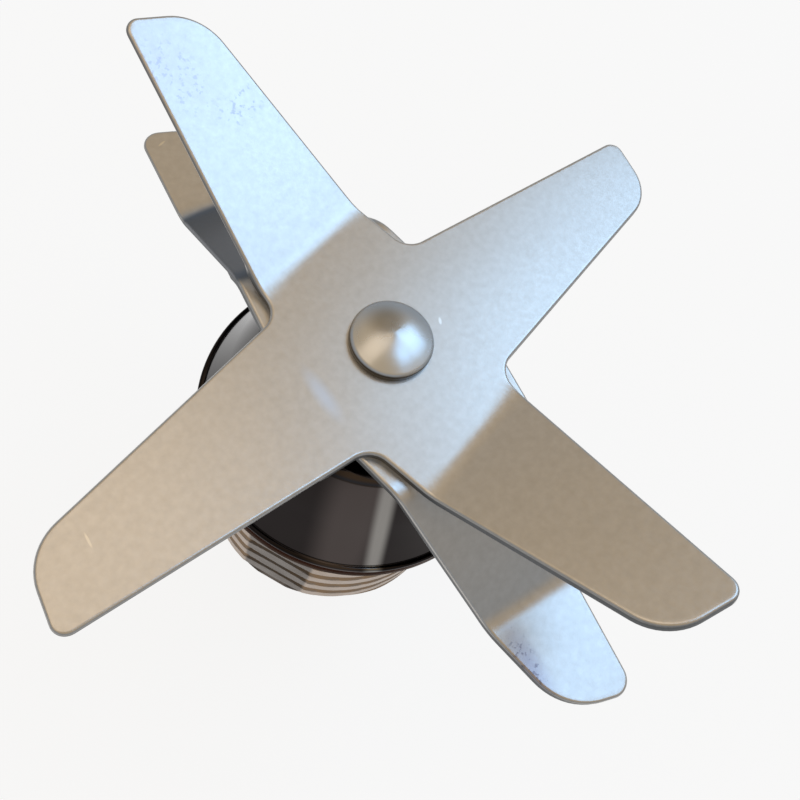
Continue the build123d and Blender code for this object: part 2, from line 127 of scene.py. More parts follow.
def metres(*sizes: float) -> tuple[float, ...]:
    """The same sizes in metres."""
    return tuple(size / METRE for size in sizes)


def add_node(
    tree: bpy.types.NodeTree, kind: str, links: Links | None = None, **settings: Any
) -> Any:
    """Adds one shader node, sets it and links it.

    Args:
        tree: Node tree that takes the node.
        kind: Blender's type name of the node, without its ShaderNode prefix.
        links: Input name or number to a plain value, or to a pair of a node and its output.
        settings: Attributes of the node.

    Returns:
        The new node.
    """
    node = tree.nodes.new("ShaderNode" + kind)
    for name, value in settings.items():
        setattr(node, name, value)
    for name, value in (links or {}).items():
        if isinstance(value, tuple) and isinstance(value[0], bpy.types.Node):
            tree.links.new(value[0].outputs[value[1]], node.inputs[name])
        else:
            node.inputs[name].default_value = value
    return node


def new_material(name: str) -> tuple[bpy.types.Material, bpy.types.NodeTree, Link]:
    """Starts an empty node material.

    Args:
        name: Name of the material.

    Returns:
        The material, its node tree and the Object coordinate output as a link.
    """
    made = bpy.data.materials.new(name)
    made.use_nodes = True
    made.node_tree.nodes.clear()
    place = add_node(made.node_tree, "TexCoord")
    return made, made.node_tree, (place, "Object")


def stretched(tree: bpy.types.NodeTree, noise: Link, limits: tuple[float, float]) -> Link:
    """Stretches a noise over the range between two limits.

    Args:
        tree: Node tree of the finish.
        noise: Link to the noise.
        limits: Values at the noise's usual lowest and highest.

    Returns:
        Link to the stretched value.
    """
    (least, most), (low, high) = NOISE_LIMITS, limits
    spread = add_node(
        tree, "MapRange",
        {"Value": noise, "From Min": least, "From Max": most, "To Min": low, "To Max": high},
    )
    return spread, "Result"


def blended(tree: bpy.types.NodeTree, share: Link, colour: Link | str, over: str) -> Link:
    """Blends a colour into another.

    Args:
        tree: Node tree of the finish.
        share: Link to the share of the second colour.
        colour: Link to the first colour, or its hex.
        over: Hex of the second colour.

    Returns:
        Link to the blend.
    """
    first = linear(colour) if isinstance(colour, str) else colour
    blend = add_node(tree, "Mix", {"Factor": share, "A": first, "B": linear(over)}, data_type="RGBA")
    return blend, "Result"


def shade(tree: bpy.types.NodeTree, links: Links) -> None:
    """Ends a material in a Principled shader with these links and values."""
    surface = add_node(tree, "BsdfPrincipled", links)
    add_node(tree, "OutputMaterial", {"Surface": (surface, "BSDF")})


@dataclass(frozen=True)
class Mark:
    """A nick, scratch, smear, peppered patch, painted shadow or painted reflection, in an ellipsoid that
    fades at its rim.

    Its size is its length along the heading, its width across it and its height. Its core is the share of
    the ellipsoid that has the full strength.
    """

    centre: Point
    heading: float
    size: Point
    colour: str
    strength: float
    core: float = 0.4
    peppered: bool = False

    def spread(self, tree: bpy.types.NodeTree, place: Link) -> Link:
        """Strength of the mark over the surface.

        The place is carried into the ellipsoid's own frame, where its distance from the centre is one on
        the rim. The strength is full inside the core and falls to nothing at the rim.

        Args:
            tree: Node tree of the finish.
            place: Object coordinates.

        Returns:
            Link to the strength.
        """
        local = add_node(
            tree, "Mapping",
            {
                "Vector": place,
                "Location": metres(*self.centre),
                "Rotation": (0.0, 0.0, np.radians(self.heading)),
                "Scale": metres(*(side / 2 for side in self.size)),
            },
            vector_type="TEXTURE",
        )
        away = add_node(tree, "VectorMath", {0: (local, "Vector")}, operation="LENGTH")
        fade = add_node(
            tree, "MapRange",
            {
                "Value": (away, "Value"), "From Min": self.core, "From Max": 1.0,
                "To Min": self.strength, "To Max": 0.0,
            },
            interpolation_type="SMOOTHSTEP",
        )
        return fade, "Result"


def marked(
    tree: bpy.types.NodeTree, place: Link, tone: Link, marks: tuple[Mark, ...], specks: Link | None = None
) -> Link:
    """Lays marks over a colour, one after the other.

    Args:
        tree: Node tree of the finish.
        place: Object coordinates.
        tone: Link to the bare colour.
        marks: The marks.
        specks: Link to the pattern of a peppered mark.

    Returns:
        Link to the marked colour.
    """
    for mark in marks:
        share = mark.spread(tree, place)
        if mark.peppered:
            share = (add_node(tree, "Math", {0: share, 1: specks}, operation="MULTIPLY"), "Value")
        tone = blended(tree, share, tone, mark.colour)
    return tone


@dataclass(frozen=True)
class TumbledSheet:
    """Stainless sheet, stamped and then tumbled in ceramic chips.

    Tumbling leaves a fine even grain with no direction, which spreads each reflection into a soft sheen.
    The sheared edges are rougher than the faces, and darker, partly from the shear and partly by painted
    shade.
    """

    name: str
    marks: tuple[Mark, ...]
    colour: str = "#D9D6D3"
    dull_colour: str = "#C3BFBA"
    # colour of the sheared wall: partly the shear's own darker grey, partly painted shade
    sheared_and_shaded_edge_colour: str = "#525456"
    roughness: tuple[float, float] = (0.29, 0.34)
    edge_roughness: float = 0.14
    grain: float = 0.35  # the real grain is too fine to show, so it is drawn coarser
    grain_height: float = 0.002
    cloud: float = 0.8
    ripple: float = 15.0
    ripple_height: float = 0.08
    speck: float = 0.5
    speck_range: tuple[float, float] = (0.55, 0.66)

    def material(self) -> bpy.types.Material:
        """Builds the material: grain, cloudy patches, the marks of use and of painted reflection, and the
        sheared rim.

        Returns:
            The material.
        """
        made, tree, place = new_material(self.name)
        patterns = (
            (self.grain, Layers.GRAINED), (self.cloud, Layers.CLOUDY),
            (self.ripple, Layers.SMOOTH), (self.speck, Layers.CLOUDY),
        )
        noises = [
            add_node(tree, "TexNoise", {"Vector": place, "Scale": per_mm(size), "Detail": layers.value})
            for size, layers in patterns
        ]
        grain, cloud, ripple, grit = ((noise, "Fac") for noise in noises)
        sparse, dense = self.speck_range
        specks = add_node(
            tree, "MapRange", {"Value": grit, "From Min": sparse, "From Max": dense},
            interpolation_type="SMOOTHSTEP",
        )
        rim = add_node(tree, "Attribute", attribute_name=RIM)
        tone = blended(tree, cloud, self.dull_colour, self.colour)
        worn = marked(tree, place, tone, self.marks, (specks, "Result"))
        satin = stretched(tree, grain, self.roughness)
        rough = add_node(
            tree, "Math", {0: (rim, "Fac"), 1: self.edge_roughness, 2: satin}, operation="MULTIPLY_ADD",
        )
        wavy = add_node(
            tree, "Bump",
            {"Height": ripple, "Strength": 1.0, "Distance": self.ripple_height / METRE},
        )
        grained = add_node(
            tree, "Bump",
            {
                "Height": grain, "Strength": 1.0, "Distance": self.grain_height / METRE,
                "Normal": (wavy, "Normal"),
            },
        )
        shade(tree, {
            "Base Color": blended(tree, (rim, "Fac"), worn, self.sheared_and_shaded_edge_colour), "Metallic": 1.0,
            "Roughness": (rough, "Value"), "Normal": (grained, "Normal"),
        })
        return made


@dataclass(frozen=True)
class TurnedSteel:
    """Steel cut or ground on a lathe: rings round the axis that stretch highlights into streaks.

    A finer cut leaves lower rings and a clearer reflection. The glancing colour tints what the surface shows
    at low angles.
    """

    name: str
    colour: str
    stain_colour: str
    roughness: tuple[float, float]
    ring: float = 0.25  # real rings are too fine to show, so they are drawn coarser
    ring_height: float = 0.002
    stain: float = 5.0
    anisotropy: float = 0.0
    glancing_colour: str = WHITE
    marks: tuple[Mark, ...] = ()

    def material(self) -> bpy.types.Material:
        """Builds the material: rings in height, stains in colour and roughness, then the marks.

        Returns:
            The material.
        """
        made, tree, place = new_material(self.name)
        split = add_node(tree, "SeparateXYZ", {0: place})
        spoke = add_node(tree, "VectorMath", {0: place, 1: (1.0, 1.0, 0.0)}, operation="MULTIPLY")
        reach = add_node(tree, "VectorMath", {0: (spoke, "Vector")}, operation="LENGTH")
        along = add_node(tree, "CombineXYZ", {"X": (reach, "Value"), "Y": (split, "Z")})
        rings = add_node(
            tree, "TexNoise",
            {"Vector": (along, "Vector"), "Scale": per_mm(self.ring), "Detail": Layers.GRAINED.value},
        )
        stain = add_node(
            tree, "TexNoise",
            {"Vector": place, "Scale": per_mm(self.stain), "Detail": Layers.PATCHY.value},
        )
        tone = blended(tree, (stain, "Fac"), self.colour, self.stain_colour)
        relief = add_node(
            tree, "Bump", {"Height": (rings, "Fac"), "Strength": 1.0, "Distance": self.ring_height / METRE},
        )
        around = add_node(tree, "Tangent", direction_type="RADIAL", axis="Z")
        shade(tree, {
            "Base Color": marked(tree, place, tone, self.marks), "Metallic": 1.0,
            "Roughness": stretched(tree, (stain, "Fac"), self.roughness),
            "Specular Tint": linear(self.glancing_colour),
            "Anisotropic": self.anisotropy, "Anisotropic Rotation": OUTWARDS,
            "Tangent": (around, "Tangent"), "Normal": (relief, "Normal"),
        })
        return made


@dataclass(frozen=True)
class MouldedPolymer:
    """Moulded rubber or plastic: no metal, a soft broad sheen and a faint skin texture from the mould."""

    name: str
    colour: str
    bloom_colour: str
    roughness: tuple[float, float]
    ior: float
    skin: float = 0.35  # the real skin is too fine to show, so it is drawn coarser
    skin_height: float = 0.01
    bloom: float = 3.0

    def material(self) -> bpy.types.Material:
        """Builds the material: mould skin in height and roughness, and bloom in patches of colour.

        Returns:
            The material.
        """
        made, tree, place = new_material(self.name)
        skin, bloom = (
            add_node(tree, "TexNoise", {"Vector": place, "Scale": per_mm(size), "Detail": layers.value})
            for size, layers in ((self.skin, Layers.GRAINED), (self.bloom, Layers.PATCHY))
        )
        relief = add_node(
            tree, "Bump", {"Height": (skin, "Fac"), "Strength": 1.0, "Distance": self.skin_height / METRE},
        )
        shade(tree, {
            "Base Color": blended(tree, (bloom, "Fac"), self.colour, self.bloom_colour),
            "Roughness": stretched(tree, (skin, "Fac"), self.roughness), "IOR": self.ior,
            "Normal": (relief, "Normal"),
        })
        return made


def turned(vectors: Array, angle: Array | float) -> Array:
    """Turns plane vectors counterclockwise.

    Args:
        vectors: Array whose last axis holds x and y.
        angle: Angle in radians, one or one for each vector.

    Returns:
        The turned vectors.
    """
    x, y = vectors[..., 0], vectors[..., 1]
    return np.stack([x * np.cos(angle) - y * np.sin(angle), x * np.sin(angle) + y * np.cos(angle)], axis=-1)


def revolved(reach: Array, height: Array, angles: Array) -> Array:
    """Carries a profile round the axis.

    A point's x is its reach times the cosine of the angle and its y the reach times the sine.

    Args:
        reach: Distance from the axis, a row for each profile point, with one column or one for each angle.
        height: Height of each profile point, as a column.
        angles: Angles round the axis in radians.

    Returns:
        Grid of points, a row for each profile point.
    """
    return np.stack(
        np.broadcast_arrays(reach * np.cos(angles), reach * np.sin(angles), height), axis=-1,
    )


def rounded_outline(corners: Array, radii: Array, arc_steps: int, side_steps: int) -> tuple[Array, Array]:
    """Outline of a polygon with each corner replaced by a tangent arc.

    At a corner where the side turns by an angle, the arc starts one radius times the tangent of half that
    angle before the corner, and its centre lies one radius square to the side.

    Args:
        corners: Corners in counterclockwise order, one row each.
        radii: Radius at each corner.
        arc_steps: Points on each arc.
        side_steps: Points on each straight side between two arcs.

    Returns:
        The outline's points and their outward normals, one row each.
    """
    to_next = np.roll(corners, -1, axis=0) - corners
    ahead = to_next / np.linalg.norm(to_next, axis=1, keepdims=True)
    behind = np.roll(ahead, 1, axis=0)
    cross = behind[:, 0] * ahead[:, 1] - behind[:, 1] * ahead[:, 0]
    turn = np.arctan2(cross, np.sum(behind * ahead, axis=1))
    trim = radii * np.tan(np.abs(turn) / 2)
    outward = turned(behind, -np.pi / 2)
    side = np.sign(turn) * radii
    centre = corners - behind * trim[:, None] - outward * side[:, None]
    share = np.linspace(0, 1, arc_steps)
    normals = turned(outward[:, None, :], turn[:, None] * share)
    arcs = centre[:, None, :] + normals * side[:, None, None]
    step = (np.arange(side_steps) + 1) / (side_steps + 1)
    starts, ends = arcs[:, -1:, :], np.roll(arcs[:, :1, :], -1, axis=0)
    sides = starts + (ends - starts) * step[None, :, None]
    side_normals = np.repeat(normals[:, -1:, :], side_steps, axis=1)
    points = np.concatenate([arcs, sides], axis=1).reshape(-1, 2)
    return points, np.concatenate([normals, side_normals], axis=1).reshape(-1, 2)


def make_piece(name: str, points: Array, sharp: float = 32.0) -> bpy.types.Object:
    """Puts a closed grid into a mesh object at the origin.

    Both directions of the grid close on themselves, so the surface is a ring with no rim. Its quads are
    turned to face outwards by the sign of the volume that they enclose.

    Args:
        name: Name of the piece.
        points: Grid in millimetres, as rows, columns and x, y, z.
        sharp: Angle in degrees over which an edge is drawn sharp.

    Returns:
        The object, linked to the scene.
    """
    rows, columns = points.shape[:2]
    index = np.arange(rows * columns).reshape(rows, columns)
    down = np.roll(index, -1, axis=0)
    ring = [index, np.roll(index, -1, axis=1), np.roll(down, -1, axis=1), down]
    quads = np.stack(ring, axis=-1).reshape(-1, 4)
    flat = points.reshape(-1, 3) / METRE
    a, b, c, d = (flat[quads[:, i]] for i in range(4))
    volume = np.sum(a * np.cross(b, c)) + np.sum(a * np.cross(c, d))
    quads = quads if volume > 0 else quads[:, ::-1]
    mesh = bpy.data.meshes.new(name)
    mesh.from_pydata(flat.tolist(), [], quads.tolist())
    mesh.shade_smooth()
    mesh.set_sharp_from_angle(angle=np.radians(sharp))
    piece = bpy.data.objects.new(name, mesh)
    bpy.context.scene.collection.objects.link(piece)
    return piece


def dress(
    piece: bpy.types.Object, body: Body, slot: str, node: str, *materials: bpy.types.Material
) -> None:
    """Gives a new piece its finishes, its body and the node that it stands for.

    Args:
        piece: The new piece.
        body: Body that it rides on.
        slot: Material slot of the record that the finishes belong to; not used.
        node: Node that it replaces.
        materials: Its finishes.
    """
    for material in materials:
        piece.data.materials.append(material)
    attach(piece, body.value)
    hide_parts(node)
    LOG.info("%s: %d faces", piece.name, len(piece.data.polygons))


def dress_nodes(finish: TurnedSteel | MouldedPolymer, *names: str) -> None:
    """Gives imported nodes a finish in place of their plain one.

    Args:
        finish: The finish.
        names: Nodes that take it.
    """
    material = finish.material()
    for name in names:
        NODES[name].data.materials.clear()
        NODES[name].data.materials.append(material)
        LOG.info("%s: %s", name, material.name)


@dataclass(frozen=True)
class Fold:
    """One bend of a sheet, across the run outwards from the shaft."""

    distance: float
    rise: float
    radius: float


@dataclass
class Blade:
    """A stamped sheet blade whose arms are folded along lines on both sides of the shaft."""

    name: str
    node: str
    corners: Array
    radii: Array
    turn: float
    folds: tuple[Fold, ...]
    top: float
    thickness: float
    # Leading edges, ground from below.
    grind_start: float
    grind_fade: float = 0.8
    grind_land: float = 0.45
    grind_width: float = 2.6
    # Rounded rims, and how sharply the finish of the sheared wall ends on them.
    edge: float = 0.35
    wall_power: int = 8
    # Hole for the shaft's tenon.
    tenon_radius: float = 3.25
    tenon_flat: float = 2.55
    # Steps of the grid and of the side view, which runs past the tips by a share.
    arc_steps: int = 12
    side_steps: int = 26
    face_steps: int = 100
    under_steps: int = 50
    edge_steps: int = 8
    path_steps: int = 6001
    path_share: float = 1.2

    def path(self) -> tuple[Array, Array, Array, Array]:
        """Side view of the folded top face, from the shaft outwards.

        The run is measured along the straight legs to where they meet. Within a bend the heading changes
        evenly over the two tangents, at the pace of its shorter arc. Reach and height are the running sums
        of the heading's cosine and sine.

        Returns:
            Run along the sheet, reach from the shaft, height and heading in radians.
        """
        run = np.linspace(0, self.path_share * np.abs(self.corners).max(), self.path_steps)
        pace = np.ones_like(run)
        heading = np.zeros_like(run)
        for fold in self.folds:
            rise = np.radians(fold.rise)
            tangent = fold.radius * np.tan(abs(rise) / 2)
            heading += rise * np.clip((run - fold.distance + tangent) / (2 * tangent), 0, 1)
            inside = np.abs(run - fold.distance) < tangent
            pace = np.where(inside, fold.radius * abs(rise) / (2 * tangent), pace)
        step = pace * run[1]
        reach = np.cumsum(np.cos(heading) * step) - step[0]
        height = np.cumsum(np.sin(heading) * step)
        return run, reach, height, heading

    def folded(self, blank: Array) -> Array:
        """Carries points of the flat blank to their place on the folded blade.

        A point keeps its place across the run. Along the run it follows the side view, and its depth under
        the top face is set off square to the heading there.

        Args:
            blank: Points whose last axis is along the run, across it and up from the top face.

        Returns:
            The same points in the unit's frame.
        """
        run, reach, height, heading = self.path()
        along, across, up = np.moveaxis(blank, -1, 0)
        lean = np.interp(np.abs(along), run, heading)
        out = np.interp(np.abs(along), run, reach) - up * np.sin(lean)
        level = np.interp(np.abs(along), run, height) + up * np.cos(lean) + self.top
        plan = turned(np.stack([np.sign(along) * out, across], axis=-1), np.radians(self.turn))
        return np.concatenate([plan, level[..., None]], axis=-1)

    def bore(self, bearings: Array) -> Array:
        """Outline of the tenon hole, a circle with two flats along the flat arms.

        Its radius is the circle's, or less where a flat's distance over the sine of the angle is less.

        Args:
            bearings: Angles from the run's axis in radians.

        Returns:
            Points of the outline, one row each.
        """
        angle = bearings + np.radians(self.turn)
        flat = self.tenon_flat / np.maximum(np.abs(np.sin(angle)), TINY)
        radius = np.minimum(self.tenon_radius, flat)
        return np.stack([radius * np.cos(bearings), radius * np.sin(bearings)], axis=-1)

    def ground(self, plan: Array) -> tuple[Array, Array]:
        """Level of the bevel that grinding the leading edges from below leaves at each place of the blank.

        A leading edge runs from an arm's root corner to the tip corner before it in the outline. The bevel
        starts one land under the top face at that edge and falls evenly with the distance inwards, to the
        underside at its full width. Along the edge it fades in past its start.

        Args:
            plan: Places of the blank, whose last axis is along and across.

        Returns:
            Level of the bevel, and how far each place along an edge is ground.
        """
        # Three corners make an arm: both of its tip, then its root.
        _, tips, roots = self.corners.reshape(-1, 3, 2).swapaxes(0, 1)
        ahead = (tips - roots) / np.linalg.norm(tips - roots, axis=1, keepdims=True)
        offset = plan[..., None, :] - roots
        run = np.sum(offset * ahead, axis=-1)
        inward = offset[..., 0] * ahead[:, 1] - offset[..., 1] * ahead[:, 0]
        share = np.clip((run - self.grind_start) / self.grind_fade, 0, 1)
        slope = (self.thickness - self.grind_land) / self.grind_width
        depth = self.grind_land + slope * np.maximum(inward, 0) + self.thickness * (1 - share)
        near = share * (np.abs(inward) < self.grind_width)
        return -depth.min(axis=-1), near.max(axis=-1)

    def blank(self) -> tuple[Array, Array]:
        """Grid over the flat blank: top face, rounded rim, wall, rounded rim, underside and bore.

        Each column is one outline point. Its rows run straight from the bore to the rim less one edge
        radius, round a quarter circle, down the wall, round again and straight back. No row lies under the
        bevel. A point belongs to the sheared wall by a high power of the sine of its angle on the quarter
        circle, and not where it is ground.

        Returns:
            The grid as rows, columns and along, across, up, and how far each point belongs to the wall.
        """
        points, normals = rounded_outline(self.corners, self.radii, self.arc_steps, self.side_steps)
        bore = self.bore(np.arctan2(points[:, 1], points[:, 0]))
        inner = points - normals * self.edge
        share = np.linspace(0, 1, self.face_steps)[:, None, None]
        face = bore + (inner - bore) * share
        quarter = np.linspace(0, np.pi / 2, self.edge_steps)[1:]
        rim = inner + normals * (self.edge * np.sin(quarter))[:, None, None]
        drop = self.edge * (np.cos(quarter) - 1)
        back = np.linspace(1, 0, self.under_steps)[:, None, None]
        under = bore + (inner - bore) * back
        plan = np.concatenate([face, rim, rim[::-1], under])
        up = np.concatenate([
            np.zeros(self.face_steps), drop,
            -self.thickness - drop[::-1], np.full(self.under_steps, -self.thickness),
        ])
        sheared = np.sin(quarter) ** self.wall_power
        wall = np.concatenate([
            np.zeros(self.face_steps), sheared, sheared[::-1], np.zeros(self.under_steps),
        ])
        bevel, share = self.ground(plan)
        level = np.maximum(up[:, None], bevel)
        polished = share * (level > up[:, None])
        return np.concatenate([plan, level[..., None]], axis=-1), wall[:, None] * (1 - polished)

    def build(self, material: bpy.types.Material) -> None:
        """Makes the blade in place of its node.

        Args:
            material: Finish of the sheet.
        """
        blank, wall = self.blank()
        piece = make_piece(self.name, self.folded(blank))
        rim = piece.data.attributes.new(RIM, "FLOAT", "POINT")
        rim.data.foreach_set("value", wall.ravel())
        dress(piece, Body.ROTOR, "blade_steel", self.node, material)


@dataclass
class BladeStack:
    """Both blades, the washer under them and the shaft whose riveted head holds them."""

    # Specks and a pale film on the raised arm, a nick and a smear beside the rivet, a scratch on a flat arm.
    upper_finish: TumbledSheet = TumbledSheet("tumbled_stainless_upper_sheet", (
        Mark((-1.7, 32.0, 30.4), 97.0, (13.0, 6.5, 8.0), "#A09EA8", 0.6, peppered=True),
        Mark((2.4, 27.4, 28.2), 12.0, (8.0, 4.5, 8.0), "#A09EA8", 0.6, peppered=True),
        Mark((-1.0, 32.0, 30.5), 100.0, (17.0, 9.0, 9.0), "#C9C4D6", 0.4, core=0.1),
        Mark((5.8, -1.25, 22.3), 58.0, (1.1, 0.45, 1.0), "#F4F6F6", 0.9),
        Mark((-9.2, -0.2, 22.3), 84.0, (8.4, 2.4, 1.0), "#D3DDEE", 0.8, core=0.1),
        Mark((-33.7, 1.5, 22.3), 80.0, (1.9, 0.3, 1.0), "#EFEAE0", 0.7),
    ))
    # Grey film and specks on the front tip, painted dark reflection on the steep part of the rear arm, a
    # scratch on its tip.
    lower_finish: TumbledSheet = TumbledSheet("tumbled_stainless_lower_sheet", (
        Mark((-7.2, -33.5, 10.2), 78.0, (14.0, 4.4, 6.0), "#9A95A8", 0.6, core=0.0),
        Mark((-7.2, -33.5, 10.2), 78.0, (12.0, 3.2, 6.0), "#77727F", 0.7, peppered=True),
        # Painted dark reflection: darkens the steep part of the rear arm.
        Mark((-1.2, 21.1, 15.6), 79.7, (19.0, 28.0, 26.0), "#6C7078", 0.9, core=0.88),
        Mark((1.4, 39.85, 10.1), 12.0, (1.5, 0.35, 1.0), "#F0E8D8", 0.8),
    ))
    # Stamped: a plain grey with a soft sheen.
    washer_finish: TurnedSteel = TurnedSteel(
        "stamped_stainless_washer", "#A9A5A0", "#98938D", (0.28, 0.36),
    )
    # Size of the painted shadow round the rivet's foot, and place and size of the painted darker reflection
    # on its crown.
    rivet_foot_shadow_size: Point = (20.0, 20.0, 2.0)
    rivet_crown_shade_place: tuple[float, float] = (0.3, 1.5)
    rivet_crown_shade_size: Point = (5.4, 5.4, 6.0)
    # Upper blade.
    corner: tuple[float, float] = (9.0, 7.2)
    corner_radius: float = 2.5
    tip: tuple[float, float] = (40.5, 3.95)
    raised_trim: float = 0.2
    tip_setback: float = 2.2
    tip_radii: tuple[float, float] = (5.5, 1.4)
    raised_fold: Fold = Fold(12.75, 23.2, 4.0)
    fold_slant: float = 9.4
    grind_start: float = 5.0
    # Lower blade. Its outer fold is rounder here than in the solid, for its soft band of light.
    drop_root: float = 10.9
    drop_root_radius: float = 6.0
    drop_tip: tuple[float, float] = (45.35, 7.7)
    drop_tip_setback: float = 2.3
    drop_tip_width: float = 8.0
    drop_tip_radii: tuple[float, float] = (7.5, 2.0)
    drop_folds: tuple[Fold, ...] = (Fold(13.43, -34.9, 4.3), Fold(31.95, 33.0, 4.6))
    drop_turn: float = -10.3
    drop_grind_start: float = 15.7
    drop_side_steps: int = 58

    def upper(self, top: float, thickness: float) -> Blade:
        """The four-arm blade, with its outline turned so that the run lies square to the fold lines.

        The upright cut of a raised tip takes a little off the reach of that arm.

        Args:
            top: Height of its top face.
            thickness: Thickness of the sheet.

        Returns:
            The blade.
        """
        reach, half = self.tip
        flat = np.array([(reach - self.tip_setback, -half), (reach, half), self.corner])
        raised = flat - [(self.raised_trim, 0), (self.raised_trim, 0), (0, 0)]
        arms = (flat, raised, flat, raised)
        turn = QUARTER_TURN + self.fold_slant
        quarters = np.radians(np.arange(len(arms)) * QUARTER_TURN - turn)
        return Blade(
            "upper_blade_sheet", "upper_blade",
            corners=np.concatenate([turned(arm, angle) for arm, angle in zip(arms, quarters)]),
            radii=np.tile([*self.tip_radii, self.corner_radius], len(arms)),
            turn=turn, folds=(self.raised_fold,), top=top, thickness=thickness,
            grind_start=self.grind_start,
        )

    def lower(self, top: float, thickness: float) -> Blade:
        """The two-arm blade, which drops beside the cone and levels out at its tips.

        Args:
            top: Height of its top face.
            thickness: Thickness of the sheet.

        Returns:
            The blade.
        """
        reach, across = self.drop_tip
        arm = np.array([
            (reach - self.drop_tip_setback, across - self.drop_tip_width),
            (reach, across),
            (0.0, self.drop_root),
        ])
        arms = (arm, -arm)
        return Blade(
            "lower_blade_sheet", "lower_blade",
            corners=np.concatenate(arms),
            radii=np.tile([*self.drop_tip_radii, self.drop_root_radius], len(arms)),
            turn=QUARTER_TURN + self.drop_turn, folds=self.drop_folds, top=top, thickness=thickness,
            grind_start=self.drop_grind_start, side_steps=self.drop_side_steps,
        )

    def rivet_finish(self, foot: float, head: float) -> TurnedSteel:
        """Bar whose end was rolled over into a bright head, with a painted darker reflection on its crown
        and a painted shadow round its foot.

        Args:
            foot: Height of the sheet under the head.
            head: Height of the head's crown.

        Returns:
            The finish.
        """
        # Painted shadow where the head meets the sheet.
        foot_shadow = Mark((0.0, 0.0, foot), 0.0, self.rivet_foot_shadow_size, "#2B2722", 0.9, core=0.8)
        # Painted darker reflection on the crown.
        crown_shade = Mark((*self.rivet_crown_shade_place, head), 0.0, self.rivet_crown_shade_size, "#8E887E", 0.7, core=0.2)
        return TurnedSteel(
            "riveted_stainless_bar", "#DADBDC", "#CACAC9", (0.24, 0.3), ring=0.5, ring_height=0.004,
            anisotropy=0.6, marks=(foot_shadow, crown_shade),
        )

    def build(self) -> None:
        """Makes both blades and dresses the shaft and the washer."""
        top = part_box("lower_blade")[1].z * METRE
        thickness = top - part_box("blade_washer")[1].z * METRE
        self.upper(top + thickness, thickness).build(self.upper_finish.material())
        self.lower(top, thickness).build(self.lower_finish.material())
        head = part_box("shaft")[1].z * METRE
        dress_nodes(self.rivet_finish(top + thickness, head), "shaft")
        dress_nodes(self.washer_finish, "blade_washer")


@dataclass(frozen=True)
class Stripe:
    """A stripe along a turned piece, at an angle round its axis. Its core has the full colour."""

    turn: float
    width: float
    colour: str
    core: float


